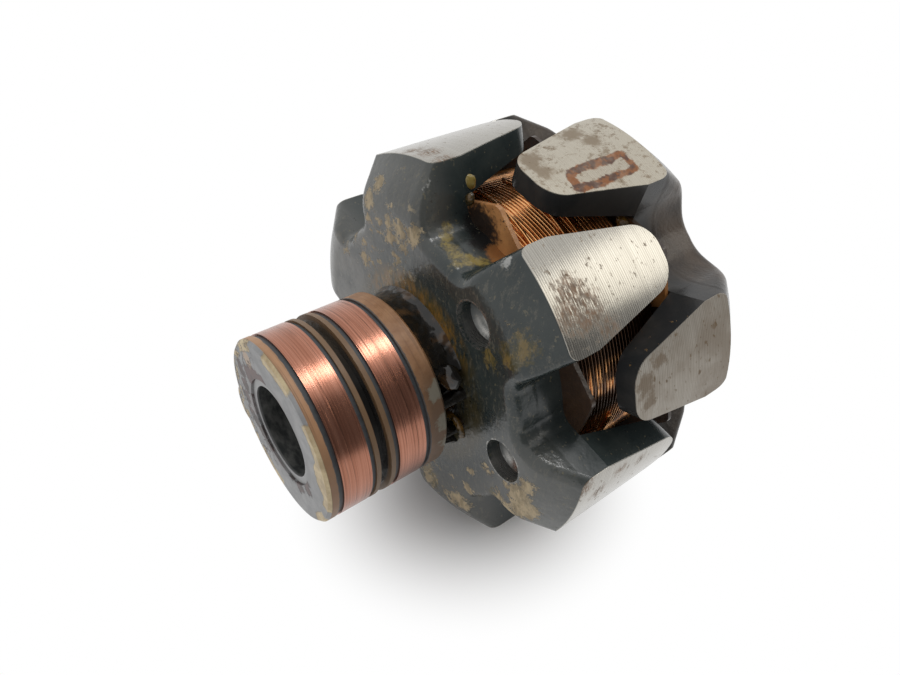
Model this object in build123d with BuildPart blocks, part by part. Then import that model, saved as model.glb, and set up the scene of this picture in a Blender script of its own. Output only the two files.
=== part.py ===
"""Claw-pole alternator rotor: two interlocking pole pieces round a field coil, with a slip ring unit.

Millimetres. The rotor axis is Y with the slip rings towards -Y, and Z is up. The origin is on the axis,
halfway along the turned band of the claws. The rotor lies on its claws, so the floor is one rotor radius
below the axis.
"""

import os
from math import cos, radians, sin, tan

from build123d import *

# Claw pole pieces
ROTOR_RADIUS = 36.75
CLAW_COUNT = 6
FIRST_FRONT_CLAW_ANGLE = 41.0
BAND_LENGTH = 34.0
FRONT_BEVEL_LENGTH = 4.7
REAR_BEVEL_LENGTH = 9.0
BEVEL_RISE = 6.25
FRONT_DISC_THICKNESS = 10.0
CLAW_LENGTH = 23.5
CLAW_ROOT_WIDTH = 17.6
CLAW_TIP_WIDTH = 9.6
CLAW_TIP_CORNER = 4.6
CLAW_ROOT_THICKNESS = 6.4
CLAW_TIP_THICKNESS = 3.8
NOTCH_DEPTH = 10.25
FRONT_NOTCH_CORNER = 3.0
REAR_NOTCH_CORNER = 7.5
NOTCH_ROOM_SHARE = 0.9
BEVEL_BLEND = 8.0
FORGED_EDGE = 1.8

# Balance drillings in the front pole piece
BALANCE_HOLE_RADIUS = 3.8
BALANCE_HOLE_INSET = 12.75
BALANCE_HOLE_DEPTH = 2.6
BALANCE_HOLE_ANGLES = (-14.0, 46.0)
DRILL_POINT_ANGLE = 118.0

# Core and field coil
CORE_WALL_SHARE = 0.4027
BOBBIN_WALL = 1.0
WASHER_THICKNESS = 0.8
WASHER_CLEARANCE = 1.77
WASHER_CORNER_ROUND = 1.6
WINDING_CLEARANCE_SHARE = 0.1275
WINDING_SHOULDER = 2.5

# Slip ring unit, measured back from its front face
SLIP_RING_RADIUS = 16.0
SLIP_UNIT_WALL = 8.0
SLIP_RING_WIDTH = 5.0
SLIP_RING_THICKNESS = 2.2
SEAL_WIDTH = 0.8
SEAL_RECESS = 0.4
FRONT_LAND = 1.8
MIDDLE_LAND = 0.8
GROOVE_WIDTH = 1.9
GROOVE_DEPTH = 2.8
BACK_LAND = 3.6
BODY_EDGE = 0.5
SLEEVE_WALL = 1.3
SLEEVE_SETBACK = 0.4

# Resin collar and coil leads between the slip ring unit and the front pole piece
COLLAR_LENGTH = 5.0
COLLAR_WALL = 5.9
COLLAR_WAIST = 0.7
POCKET_DEPTH_SHARE = 0.65
POCKET_START_ANGLE = -42.0
POCKET_END_ANGLE = 28.0
LEAD_RADIUS = 1.15
LEAD_INSET = 1.8
LEAD_ANGLES = (-22.0, 9.0)

# One radial clearance serves the pieces that slide over one another, and one overrun all the cuts
FIT_CLEARANCE = 0.05
OVERRUN = 5.0
HALFWAY_SHARE = 0.5

CLAW_PITCH = 360.0 / CLAW_COUNT
FIRST_REAR_CLAW_ANGLE = FIRST_FRONT_CLAW_ANGLE + CLAW_PITCH / 2
BAND_Y = BAND_LENGTH / 2
FACE_Y = BAND_Y + FRONT_BEVEL_LENGTH
REAR_FACE_Y = BAND_Y + REAR_BEVEL_LENGTH
DISC_INNER_Y = FACE_Y - FRONT_DISC_THICKNESS
NOTCH_RADIUS = ROTOR_RADIUS - NOTCH_DEPTH
CLAW_UNDERSIDE_RADIUS = ROTOR_RADIUS - CLAW_ROOT_THICKNESS
HALF_PITCH_SINE = sin(radians(CLAW_PITCH / 2))
NOTCH_ROOM = (NOTCH_RADIUS * HALF_PITCH_SINE - CLAW_ROOT_WIDTH / 2) / (1 - HALF_PITCH_SINE)

# The bore follows the slip ring unit, and the core and the coil share the room between bore and claws
BORE_RADIUS = SLIP_RING_RADIUS - SLIP_UNIT_WALL
COIL_ROOM = CLAW_UNDERSIDE_RADIUS - BORE_RADIUS
CORE_RADIUS = BORE_RADIUS + COIL_ROOM * CORE_WALL_SHARE
WINDING_RADIUS = CLAW_UNDERSIDE_RADIUS - COIL_ROOM * WINDING_CLEARANCE_SHARE
BALANCE_HOLE_CIRCLE = ROTOR_RADIUS - BALANCE_HOLE_INSET
WASHER_CORNER_RADIUS = (CLAW_UNDERSIDE_RADIUS - WASHER_CLEARANCE) / cos(radians(CLAW_PITCH / 2))
FRONT, REAR = -1, 1

SLEEVE_RADIUS = BORE_RADIUS + SLEEVE_WALL
RING_SEAT_RADIUS = SLIP_RING_RADIUS - SLIP_RING_THICKNESS
POCKET_WIDTH = SLIP_RING_WIDTH + 2 * SEAL_WIDTH
GROOVE_BAND = 2 * MIDDLE_LAND + GROOVE_WIDTH
UNIT_BACK_Y = -FACE_Y - COLLAR_LENGTH
UNIT_FRONT_Y = UNIT_BACK_Y - BACK_LAND - 2 * POCKET_WIDTH - GROOVE_BAND - FRONT_LAND
OUTER_POCKET_Y = UNIT_FRONT_Y + FRONT_LAND
INNER_POCKET_Y = OUTER_POCKET_Y + POCKET_WIDTH + GROOVE_BAND
GROOVE_Y = OUTER_POCKET_Y + POCKET_WIDTH + MIDDLE_LAND
COLLAR_RADIUS = SLEEVE_RADIUS + COLLAR_WALL
POCKET_RADIUS = COLLAR_RADIUS - COLLAR_WALL * POCKET_DEPTH_SHARE
LEAD_CIRCLE = COLLAR_RADIUS - LEAD_INSET


def claw_angles(first_angle):
    """Angles of one pole piece's claws about the axis, from +X towards +Z."""
    return [first_angle + CLAW_PITCH * index for index in range(CLAW_COUNT)]


def claw_plane(angle):
    """Plane through the axis that faces outwards along a claw, with its own y along the rotor axis."""
    along, across = cos(radians(angle)), sin(radians(angle))
    return Plane(origin=(0, 0, 0), x_dir=(across, 0, -along), z_dir=(along, 0, across))


def cross_plane(y):
    """Plane across the axis at y, with its own x and y along X and Z. Its normal points to -Y."""
    return Plane.XZ.offset(-y)


def turned(inner_radius, outer_radius, start_y, end_y):
    """A plain ring about the rotor axis, as a part builder."""
    with BuildPart() as ring:
        with BuildSketch(Plane.XY):
            with Locations((inner_radius, start_y)):
                Rectangle(outer_radius - inner_radius, end_y - start_y, align=(Align.MIN, Align.MIN))
        revolve(axis=Axis.Y)
    return ring


def forged_edges(pole):
    """Edges where the outer face of a pole piece turns down into its notches."""
    chosen = []
    for edge in pole.edges():
        ends_y = sorted((abs(edge.position_at(0).Y), abs(edge.position_at(1).Y)))
        start, middle = edge.position_at(0), edge.position_at(HALFWAY_SHARE)
        start_radius = Vector(start.X, 0, start.Z).length
        middle_radius = Vector(middle.X, 0, middle.Z).length
        on_face = ends_y[0] > BAND_Y - FIT_CLEARANCE and ends_y[1] > BAND_Y + FIT_CLEARANCE
        in_notch = middle_radius > NOTCH_RADIUS - FIT_CLEARANCE
        at_bottom = middle_radius < NOTCH_RADIUS + FIT_CLEARANCE
        round_the_axis = abs(middle_radius - start_radius) < FIT_CLEARANCE
        if on_face and in_notch and (at_bottom or not round_the_axis):
            chosen.append(edge)
    return chosen


def claw_pole(side, first_angle, face_distance, notch_corner):
    """One forged pole piece: a lobed disc whose lobes bend over the coil as tapering claws."""
    face_y = side * face_distance
    band_y = side * BAND_Y
    inner_y = side * DISC_INNER_Y
    tip_y = side * (BAND_Y - CLAW_LENGTH)
    half_root = CLAW_ROOT_WIDTH / 2
    half_tip = CLAW_TIP_WIDTH / 2

    # Plan of the forging: the lobed disc, then each claw as seen from outside
    with BuildPart() as plan_form:
        with BuildSketch(cross_plane(face_y)) as lobed_disc:
            Circle(NOTCH_RADIUS)
            with PolarLocations(0, CLAW_COUNT, start_angle=first_angle):
                Rectangle(ROTOR_RADIUS + OVERRUN, CLAW_ROOT_WIDTH, align=(Align.MIN, Align.CENTER))
            notch_corners = [
                corner
                for corner in lobed_disc.vertices()
                if abs(Vector(corner.X, corner.Y, 0).length - NOTCH_RADIUS) < FIT_CLEARANCE
            ]
            fillet(notch_corners, min(notch_corner, NOTCH_ROOM * NOTCH_ROOM_SHARE))
        extrude(amount=side * (face_distance - DISC_INNER_Y))
        for angle in claw_angles(first_angle):
            with BuildSketch(claw_plane(angle)) as claw_outline:
                with BuildLine():
                    Polyline(
                        (-half_root, inner_y),
                        (half_root, inner_y),
                        (half_tip, tip_y),
                        (-half_tip, tip_y),
                        close=True,
                    )
                make_face()
                tip_corners = claw_outline.vertices().group_by(Axis.Y)[-1 if side < 0 else 0]
                fillet(tip_corners, CLAW_TIP_CORNER)
            extrude(amount=ROTOR_RADIUS + OVERRUN)

    # Section of the forging turned round the axis and trimmed to the plan
    with BuildPart() as pole:
        with BuildSketch(Plane.XY) as section:
            with BuildLine():
                Polyline(
                    (BORE_RADIUS, face_y),
                    (ROTOR_RADIUS - BEVEL_RISE, face_y),
                    (ROTOR_RADIUS, band_y),
                    (ROTOR_RADIUS, tip_y),
                    (ROTOR_RADIUS - CLAW_TIP_THICKNESS, tip_y),
                    (CLAW_UNDERSIDE_RADIUS, inner_y),
                    (BORE_RADIUS, inner_y),
                    close=True,
                )
            make_face()
            face_corners = section.vertices().group_by(Axis.Y)[0 if side < 0 else -1]
            fillet(face_corners.sort_by(Axis.X)[-1], BEVEL_BLEND)
        revolve(axis=Axis.Y)
        add(plan_form.part, mode=Mode.INTERSECT)
        fillet(forged_edges(pole), FORGED_EDGE)
    return pole


# Front pole piece, with two balance drillings in its face
front_blank = claw_pole(FRONT, FIRST_FRONT_CLAW_ANGLE, FACE_Y, FRONT_NOTCH_CORNER)
DRILL_POINT_DEPTH = BALANCE_HOLE_RADIUS / tan(radians(DRILL_POINT_ANGLE / 2))
with BuildPart() as front_claw_pole:
    add(front_blank.part)
    for hole_angle in BALANCE_HOLE_ANGLES:
        hole_x = BALANCE_HOLE_CIRCLE * cos(radians(hole_angle))
        hole_z = BALANCE_HOLE_CIRCLE * sin(radians(hole_angle))
        with BuildSketch(Plane(origin=(hole_x, -FACE_Y, hole_z), x_dir=(1, 0, 0), z_dir=(0, 0, 1))):
            with BuildLine():
                Polyline(
                    (0, 0),
                    (BALANCE_HOLE_RADIUS, 0),
                    (BALANCE_HOLE_RADIUS, BALANCE_HOLE_DEPTH),
                    (0, BALANCE_HOLE_DEPTH + DRILL_POINT_DEPTH),
                    close=True,
                )
            make_face()
        revolve(axis=Axis((hole_x, 0, hole_z), (0, 1, 0)), mode=Mode.SUBTRACT)

# Rear pole piece, a like forging with a deeper shoulder, turned end for end and set half a pitch round
rear_claw_pole = claw_pole(REAR, FIRST_REAR_CLAW_ANGLE, REAR_FACE_Y, REAR_NOTCH_CORNER)

# Steel core that joins the pole pieces inside the coil
pole_core = turned(BORE_RADIUS, CORE_RADIUS, -DISC_INNER_Y, DISC_INNER_Y)

# Bobbin tube and its two six-sided washers, whose corners stand in the notches
bobbin_tube = turned(
    CORE_RADIUS + FIT_CLEARANCE,
    CORE_RADIUS + BOBBIN_WALL,
    -DISC_INNER_Y + WASHER_THICKNESS,
    DISC_INNER_Y - WASHER_THICKNESS,
)


def bobbin_washer(side, corner_angle):
    """Insulating washer against one pole piece, with a corner in each of its notches."""
    with BuildPart() as washer:
        with BuildSketch(cross_plane(side * DISC_INNER_Y)) as outline:
            RegularPolygon(WASHER_CORNER_RADIUS, CLAW_COUNT, rotation=corner_angle)
            fillet(outline.vertices(), WASHER_CORNER_ROUND)
            Circle(CORE_RADIUS + FIT_CLEARANCE, mode=Mode.SUBTRACT)
        extrude(amount=side * WASHER_THICKNESS)
    return washer


front_washer = bobbin_washer(FRONT, FIRST_REAR_CLAW_ANGLE)
rear_washer = bobbin_washer(REAR, FIRST_FRONT_CLAW_ANGLE)

# Field winding, the outer form of the wound wire with rounded shoulders
with BuildPart() as field_winding:
    with BuildSketch(Plane.XY) as winding_section:
        winding_inner = CORE_RADIUS + BOBBIN_WALL + FIT_CLEARANCE
        with Locations((winding_inner, 0)):
            Rectangle(
                WINDING_RADIUS - winding_inner,
                2 * (DISC_INNER_Y - WASHER_THICKNESS),
                align=(Align.MIN, Align.CENTER),
            )
        fillet(winding_section.vertices().group_by(Axis.X)[-1], WINDING_SHOULDER)
    revolve(axis=Axis.Y)

# Slip ring unit: steel sleeve, insulating body, copper rings and the dark seals at their edges
slip_ring_sleeve = turned(BORE_RADIUS, SLEEVE_RADIUS, UNIT_FRONT_Y + SLEEVE_SETBACK, -FACE_Y)

with BuildPart() as slip_ring_body:
    with BuildSketch(Plane.XY) as body_section:
        body_inner = SLEEVE_RADIUS + FIT_CLEARANCE
        with Locations((body_inner, UNIT_FRONT_Y)):
            Rectangle(
                SLIP_RING_RADIUS - body_inner, UNIT_BACK_Y - UNIT_FRONT_Y, align=(Align.MIN, Align.MIN)
            )
        chamfer(body_section.vertices().group_by(Axis.X)[-1], BODY_EDGE)
        with Locations((RING_SEAT_RADIUS, OUTER_POCKET_Y), (RING_SEAT_RADIUS, INNER_POCKET_Y)):
            Rectangle(
                SLIP_RING_THICKNESS + OVERRUN,
                POCKET_WIDTH,
                align=(Align.MIN, Align.MIN),
                mode=Mode.SUBTRACT,
            )
        with Locations((SLIP_RING_RADIUS - GROOVE_DEPTH, GROOVE_Y)):
            Rectangle(
                GROOVE_DEPTH + OVERRUN, GROOVE_WIDTH, align=(Align.MIN, Align.MIN), mode=Mode.SUBTRACT
            )
    revolve(axis=Axis.Y)

slip_rings, ring_seals = {}, {}
for ring_name, pocket_y in (("outer", OUTER_POCKET_Y), ("inner", INNER_POCKET_Y)):
    ring_y = pocket_y + SEAL_WIDTH
    slip_rings[ring_name] = turned(
        RING_SEAT_RADIUS + FIT_CLEARANCE, SLIP_RING_RADIUS, ring_y, ring_y + SLIP_RING_WIDTH
    )
    for end_name, seal_y in (("front", pocket_y), ("rear", ring_y + SLIP_RING_WIDTH)):
        ring_seals[ring_name, end_name] = turned(
            RING_SEAT_RADIUS + FIT_CLEARANCE, SLIP_RING_RADIUS - SEAL_RECESS, seal_y, seal_y + SEAL_WIDTH
        )

# Coil leads from the slip ring unit to the front pole piece
coil_leads = {}
for lead_name, lead_angle in zip(("lower", "upper"), LEAD_ANGLES):
    with BuildPart() as lead:
        with BuildSketch(cross_plane(UNIT_BACK_Y)):
            with Locations((LEAD_CIRCLE * cos(radians(lead_angle)), LEAD_CIRCLE * sin(radians(lead_angle)))):
                Circle(LEAD_RADIUS)
        extrude(amount=-COLLAR_LENGTH)
    coil_leads[lead_name] = lead

# Resin collar behind the slip ring unit, waisted, with an open pocket round the leads
with BuildPart() as resin_collar:
    with BuildSketch(Plane.XY):
        collar_inner = SLEEVE_RADIUS + FIT_CLEARANCE
        with BuildLine():
            Polyline(
                (COLLAR_RADIUS, UNIT_BACK_Y),
                (collar_inner, UNIT_BACK_Y),
                (collar_inner, -FACE_Y),
                (COLLAR_RADIUS, -FACE_Y),
            )
            ThreePointArc(
                (COLLAR_RADIUS, -FACE_Y),
                (COLLAR_RADIUS - COLLAR_WAIST, (UNIT_BACK_Y - FACE_Y) / 2),
                (COLLAR_RADIUS, UNIT_BACK_Y),
            )
        make_face()
    revolve(axis=Axis.Y)
    with BuildSketch(cross_plane(UNIT_BACK_Y)):
        with BuildLine():
            pocket_start = PolarLine((0, 0), COLLAR_RADIUS + OVERRUN, POCKET_START_ANGLE)
            pocket_end = PolarLine((0, 0), COLLAR_RADIUS + OVERRUN, POCKET_END_ANGLE)
            Line(pocket_start @ 1, pocket_end @ 1)
        make_face()
        Circle(POCKET_RADIUS, mode=Mode.SUBTRACT)
    extrude(amount=-COLLAR_LENGTH, mode=Mode.SUBTRACT)

pieces = {
    "front_claw_pole": front_claw_pole,
    "rear_claw_pole": rear_claw_pole,
    "pole_core": pole_core,
    "bobbin_tube": bobbin_tube,
    "front_bobbin_washer": front_washer,
    "rear_bobbin_washer": rear_washer,
    "field_winding": field_winding,
    "slip_ring_sleeve": slip_ring_sleeve,
    "slip_ring_body": slip_ring_body,
    "resin_collar": resin_collar,
}
pieces.update({f"{ring}_slip_ring": part for ring, part in slip_rings.items()})
pieces.update({f"{ring}_ring_{end}_seal": part for (ring, end), part in ring_seals.items()})
pieces.update({f"{lead}_coil_lead": part for lead, part in coil_leads.items()})

os.makedirs("parts", exist_ok=True)
for name, piece in pieces.items():
    piece.part.label = name
    export_step(piece.part, f"parts/{name}.step")
    print(name, "volume", round(piece.part.volume), "solids", len(piece.part.solids()))
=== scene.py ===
# %% [markdown]
# # The looks of a claw-pole alternator rotor
# The solids of the rotor come ready from the CAD part: two forged pole pieces, a field coil and a slip ring
# unit. This lesson dresses them. It winds the copper wire, models the varnish lumps and the loop of a coil
# lead, gives every piece a finish made of nodes, and sets the table, the light and the camera.

# %% Load the rotor
import math
from functools import cached_property

import bpy
from mathutils import Matrix, Vector


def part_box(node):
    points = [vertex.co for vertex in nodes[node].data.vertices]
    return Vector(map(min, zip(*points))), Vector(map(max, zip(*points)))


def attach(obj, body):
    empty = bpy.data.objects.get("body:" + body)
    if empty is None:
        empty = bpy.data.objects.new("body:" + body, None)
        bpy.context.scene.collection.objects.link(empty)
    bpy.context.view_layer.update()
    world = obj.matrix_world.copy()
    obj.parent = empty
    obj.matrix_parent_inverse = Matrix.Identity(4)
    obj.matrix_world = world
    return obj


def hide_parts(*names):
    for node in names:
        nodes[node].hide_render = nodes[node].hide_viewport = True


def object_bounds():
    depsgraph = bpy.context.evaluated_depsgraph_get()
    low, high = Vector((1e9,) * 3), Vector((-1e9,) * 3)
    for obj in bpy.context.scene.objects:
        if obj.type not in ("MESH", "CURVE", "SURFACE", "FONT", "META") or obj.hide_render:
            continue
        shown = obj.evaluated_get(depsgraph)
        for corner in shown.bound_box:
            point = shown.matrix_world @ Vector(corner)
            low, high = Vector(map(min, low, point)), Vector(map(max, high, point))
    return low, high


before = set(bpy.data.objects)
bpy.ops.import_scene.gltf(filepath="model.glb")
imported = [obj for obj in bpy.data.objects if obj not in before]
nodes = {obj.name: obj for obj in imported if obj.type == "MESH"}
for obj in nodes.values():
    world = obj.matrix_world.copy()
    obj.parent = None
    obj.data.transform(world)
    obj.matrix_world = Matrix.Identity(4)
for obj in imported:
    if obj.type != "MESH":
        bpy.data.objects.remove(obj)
cad_box = [list(corner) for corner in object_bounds()]
MM = 0.001
ROTOR_RADIUS = 36.75
print("pieces of the rotor:", len(nodes), "box", cad_box)

# %% [markdown]
# ## The camera
# The photograph was taken close up with a short lens, so the near slip rings look large. A camera was fitted
# to the circles of the rings and of the rotor, and its place and its three directions are written here as
# numbers. A camera looks along its own -Z, so the third column of its matrix is the forward direction turned
# round.

# %% Place the camera
CAMERA_PLACE = Vector((84.92, -75.12, 75.49)) * MM
CAMERA_RIGHT = Vector((0.6073, 0.7933, -0.0425))
CAMERA_UP = Vector((-0.4330, 0.3753, 0.8196))
CAMERA_FOCAL_PIXELS = 702.3
PHOTO_WIDTH = 900

camera_data = bpy.data.cameras.new("photo_camera")
camera_data.sensor_width = 36.0
camera_data.lens = camera_data.sensor_width * CAMERA_FOCAL_PIXELS / PHOTO_WIDTH
camera_data.clip_start = 0.005
camera = bpy.data.objects.new("photo_camera", camera_data)
bpy.context.scene.collection.objects.link(camera)
camera_back = CAMERA_RIGHT.cross(CAMERA_UP)
turn = Matrix((CAMERA_RIGHT, CAMERA_UP, camera_back)).transposed().to_4x4()
camera.matrix_world = Matrix.Translation(CAMERA_PLACE) @ turn
bpy.context.scene.camera = camera
bpy.context.scene.view_settings.view_transform = "Standard"
print("lens", round(camera_data.lens, 2), "mm")

# %% [markdown]
# ## Nodes as sums
# A finish is a small calculation for each point of a surface. Written node by node it is long, so one class
# wraps a socket and lets Python's own signs add the Math nodes, and one method adds any other node.


# %% A class for shader sums
class Value:
    """A node's output that can be used in sums."""

    def __init__(self, finish, socket):
        self.finish, self.socket = finish, socket

    def math(self, operation, *others):
        sockets = dict(enumerate((self,) + others))
        return self.finish.node("ShaderNodeMath", {"operation": operation}, sockets)

    def __add__(self, other):
        return self.math("ADD", other)

    __radd__ = __add__

    def __sub__(self, other):
        return self.math("SUBTRACT", other)

    def __rsub__(self, other):
        return self.math("MULTIPLY", -1.0).math("ADD", other)

    def __mul__(self, other):
        return self.math("MULTIPLY", other)

    __rmul__ = __mul__

    def most(self, other):
        return self.math("MAXIMUM", other)

    def least(self, other):
        return self.math("MINIMUM", other)

    def step(self, low, high):
        """0 below low, 1 above high, and a smooth rise between. It falls if low is above high."""
        settings = {"interpolation_type": "SMOOTHSTEP"}
        sockets = {"Value": self, "From Min": low, "From Max": high}
        return self.finish.node("ShaderNodeMapRange", settings, sockets)

    def band(self, middle, half, soft):
        """1 within half of the middle, fading over soft."""
        return (self - middle).math("ABSOLUTE").step(half + soft, half)


# %% [markdown]
# The second class is one finish. It works in millimetres and keeps the distance from the axis and the angle
# round it, because most marks on a turned part follow the lathe.


# %% A class for finishes
class Finish:
    """A material or a world whose nodes are added one by one. Lengths in it are millimetres."""

    def __init__(self, name, home=bpy.data.materials, kind="Material"):
        self.owner = home.new(name)
        self.owner.use_nodes = True
        self.tree = self.owner.node_tree
        self.tree.nodes.clear()
        self.output = self.tree.nodes.new("ShaderNodeOutput" + kind)

    @cached_property
    def place(self):
        point = self.node("ShaderNodeTexCoord", {}, {}, "Object")
        return self.node("ShaderNodeVectorMath", {"operation": "SCALE"}, {"Vector": point, "Scale": 1000.0})

    def along(self, axis):
        return self.node("ShaderNodeSeparateXYZ", {}, {"Vector": self.place}, axis)

    x = cached_property(lambda self: self.along("X"))
    y = cached_property(lambda self: self.along("Y"))
    z = cached_property(lambda self: self.along("Z"))
    radius = cached_property(lambda self: (self.x * self.x + self.z * self.z).math("SQRT"))
    angle = cached_property(lambda self: self.z.math("ARCTAN2", self.x) * math.degrees(1))

    def node(self, kind, settings, sockets, output=0):
        """Adds one node: its settings first, then its sockets, and returns one of its outputs."""
        made = self.tree.nodes.new(kind)
        for key, setting in settings.items():
            setattr(made, key, setting)
        for key, entry in sockets.items():
            if isinstance(entry, Value):
                self.tree.links.new(entry.socket, made.inputs[key])
            elif isinstance(entry, tuple) and made.inputs[key].type == "RGBA":
                made.inputs[key].default_value = (*entry, 1.0)
            else:
                made.inputs[key].default_value = entry
        return Value(self, made.outputs[output])

    def noise(self, scale, detail=3.0, rough=0.55, stretch=(1.0, 1.0, 1.0), shift=0.0):
        """Cloudy noise. Scale counts waves in a millimetre, and stretch squeezes it along X, Y and Z."""
        mapping = {"Vector": self.place, "Scale": stretch, "Location": (shift,) * 3}
        squeezed = self.node("ShaderNodeMapping", {}, mapping)
        waves = {"Vector": squeezed, "Scale": scale, "Detail": detail, "Roughness": rough}
        return self.node("ShaderNodeTexNoise", {}, waves)

    def distance(self, point):
        """How far each place is from one point."""
        sockets = {0: self.place, 1: point}
        return self.node("ShaderNodeVectorMath", {"operation": "DISTANCE"}, sockets, "Value")

    def ray(self, kind):
        """1 for light of that kind, such as Is Camera Ray, and 0 for the rest."""
        return self.node("ShaderNodeLightPath", {}, {}, kind)

    def spots(self, marks, torn, soft=0.3):
        """1 inside any of the marks, each X, Y, Z and a radius. Torn makes the edge ragged."""
        inside = None
        for *centre, radius in marks:
            depth = radius - self.distance(tuple(centre))
            inside = inside.most(depth) if inside else depth
        return (inside + torn).step(-soft, soft)

    def mix(self, share, first, second):
        """The first colour where share is 0 and the second where it is 1."""
        return self.node("ShaderNodeMix", {"data_type": "RGBA"}, {0: share, 6: first, 7: second}, 2)

    def bump(self, height, depth, below=None):
        """Bends the light as a relief of that depth in millimetres would."""
        sockets = {"Height": height, "Strength": 1.0, "Distance": depth * MM}
        if below:
            sockets["Normal"] = below
        return self.node("ShaderNodeBump", {}, sockets)

    def close(self, shader):
        """Joins the last shader to the output."""
        self.tree.links.new(shader.socket, self.output.inputs["Surface"])
        print("finish", self.owner.name, "nodes", len(self.tree.nodes))
        return self.owner

    def done(self, **sockets):
        """Ends a material with a Principled shader, given its sockets by name."""
        named = {key.replace("_", " "): entry for key, entry in sockets.items()}
        return self.close(self.node("ShaderNodeBsdfPrincipled", {}, named))


def dress(material, *pieces):
    """Gives each piece one material all over."""
    for piece in pieces:
        piece.data.materials.clear()
        piece.data.materials.append(material)


# %% [markdown]
# ## Pole pieces: varnish over forged steel, and turned claws
# A pole piece is forged, dipped in insulating varnish and then turned on a lathe, so only the outside of the
# claws is bare. Both finishes belong to one solid. The distance from the axis tells them apart. The function
# below puts the turned steel on a varnish that has been mixed already.


# %% Turned steel over varnish
TURNED_EDGE = (36.60, 36.70)
LATHE_PITCH = 0.40
FLANK_ENDS = (17.5, 16.5)
TURNED_STEEL = ((0.290, 0.275, 0.244), (0.410, 0.392, 0.352))
TAN_FILM = (0.540, 0.485, 0.385)
STEEL_STAIN = (0.165, 0.104, 0.050)
RUST = ((0.285, 0.112, 0.042), (0.115, 0.060, 0.044))
DRILLED_METAL = (0.38, 0.37, 0.35)


def close_pole(f, varnish, flaked, stain, rust, shift, shine, film=None, bright=None):
    """Ends a pole finish with its turned steel.

    Flaked is where ochre shows in the varnish. Stain, rust and a tan film lie on the steel, and bright is
    drilled metal, painted brighter on one side inside the holes as painted light. Shift moves the noise, and
    shine is the gloss of the varnish.
    """
    turned = f.radius.step(*TURNED_EDGE)
    wander = f.noise(0.05, 2.0, shift=shift)
    lines = (f.y * (2 * math.pi / LATHE_PITCH) + wander * 9.0).math("SINE")
    fine = f.noise(1.0, 3.0, 0.6, (0.05, 7.0, 0.05), shift)
    speck = f.noise(0.75, 4.0, 0.65, (1.0, 1.5, 1.0), shift + 3).step(0.60, 0.70)
    brown = (stain + speck * 0.6).least(1.0)
    steel = f.mix((fine + lines * 0.12).step(0.25, 0.75), *TURNED_STEEL)
    if film:
        steel = f.mix(film, steel, TAN_FILM)
    steel = f.mix(brown * 0.85, steel, STEEL_STAIN)
    rust_cloud = f.noise(0.7, 3.0, 0.6, shift=shift + 9)
    steel = f.mix(rust * 0.95, steel, f.mix(rust_cloud.step(0.42, 0.58), *RUST))
    lumps = f.noise(0.35, 3.0, 0.5, shift=shift + 2)
    grain = f.noise(1.6, 2.0, 0.5, shift=shift + 4)
    flank = f.y.math("ABSOLUTE").step(*FLANK_ENDS)
    uneven = (lumps * 0.8 + grain * 0.32 + flaked * 0.3) * (1 - turned) * (1 - flank * 0.7)
    relief = f.bump(uneven, 0.14)
    relief = f.bump((lines * 0.6 + fine * 0.3) * turned, 0.004, relief)
    spoiled = brown.most(rust)
    varnish_rough = 0.18 + grain * 0.10 + flaked * 0.35
    steel_rough = 0.17 + fine * 0.06 + spoiled * 0.4
    rough = varnish_rough * (1 - turned) + steel_rough * turned
    metal = turned * (1 - spoiled * 0.8)
    if bright:
        varnish = f.mix(bright, varnish, DRILLED_METAL)
        metal = metal.most(bright)
    return f.done(Base_Color=f.mix(turned, varnish, steel), Metallic=metal, Roughness=rough,
                  Specular_IOR_Level=shine, Normal=relief)


# %% [markdown]
# The marks of the front piece are read off the photograph and written as points in millimetres, each with a
# radius. Tan flakes lie round the foot of each lobe, olive varnish has run together between them, and amber
# varnish rings the hub.

# %% Marks of the front pole piece
TAN_FLAKES = [
    (-9.2, -20.4, 31.4, 1.4), (-11.1, -21.0, 28.1, 1.5), (-4.8, -21.7, 26.4, 1.0), (-4.6, -21.7, 24.0, 1.5),
    (-1.4, -21.7, 25.9, 1.5), (2.0, -21.7, 26.4, 1.7), (-1.2, -21.7, 23.6, 0.8), (-10.9, -21.7, 25.0, 0.8),
    (-7.7, -21.7, 25.4, 0.7), (-4.7, -19.5, 35.2, 0.9), (-14.0, -21.7, 16.1, 1.4), (-17.6, -21.7, 19.9, 1.0),
    (-21.0, -21.7, 15.0, 0.9), (28.6, -20.9, 20.0, 1.2), (23.9, -21.7, 20.1, 0.5), (26.9, -21.4, -10.9, 2.3),
    (27.7, -21.0, -14.0, 2.8), (24.7, -21.7, -10.8, 0.9), (8.6, -21.7, -26.6, 1.3), (11.4, -21.7, -25.8, 1.9),
    (24.8, -21.5, -16.6, 1.7), (14.1, -21.7, -19.9, 1.2), (22.3, -21.7, -14.8, 0.9),
    (23.6, -21.7, -16.2, 0.7), (14.6, -21.7, -14.6, 0.8), (28.6, -21.2, -7.6, 1.3), (19.4, -21.7, -10.9, 0.8),
    (1.0, -21.7, -27.6, 1.4), (16.6, -21.7, -23.8, 1.3), (20.0, -21.7, -19.8, 0.9)]
OLIVE_RUNS = [
    (27.0, -21.5, 18.3, 2.3), (25.0, -21.7, 15.8, 1.8), (20.5, -21.7, 13.3, 1.6), (17.8, -21.7, -22.3, 2.5),
    (21.2, -21.7, -16.0, 1.6), (1.5, -21.7, -26.4, 2.8), (29.5, -15.5, -5.5, 2.4), (31.5, -14.5, -8.0, 1.8)]
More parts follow.
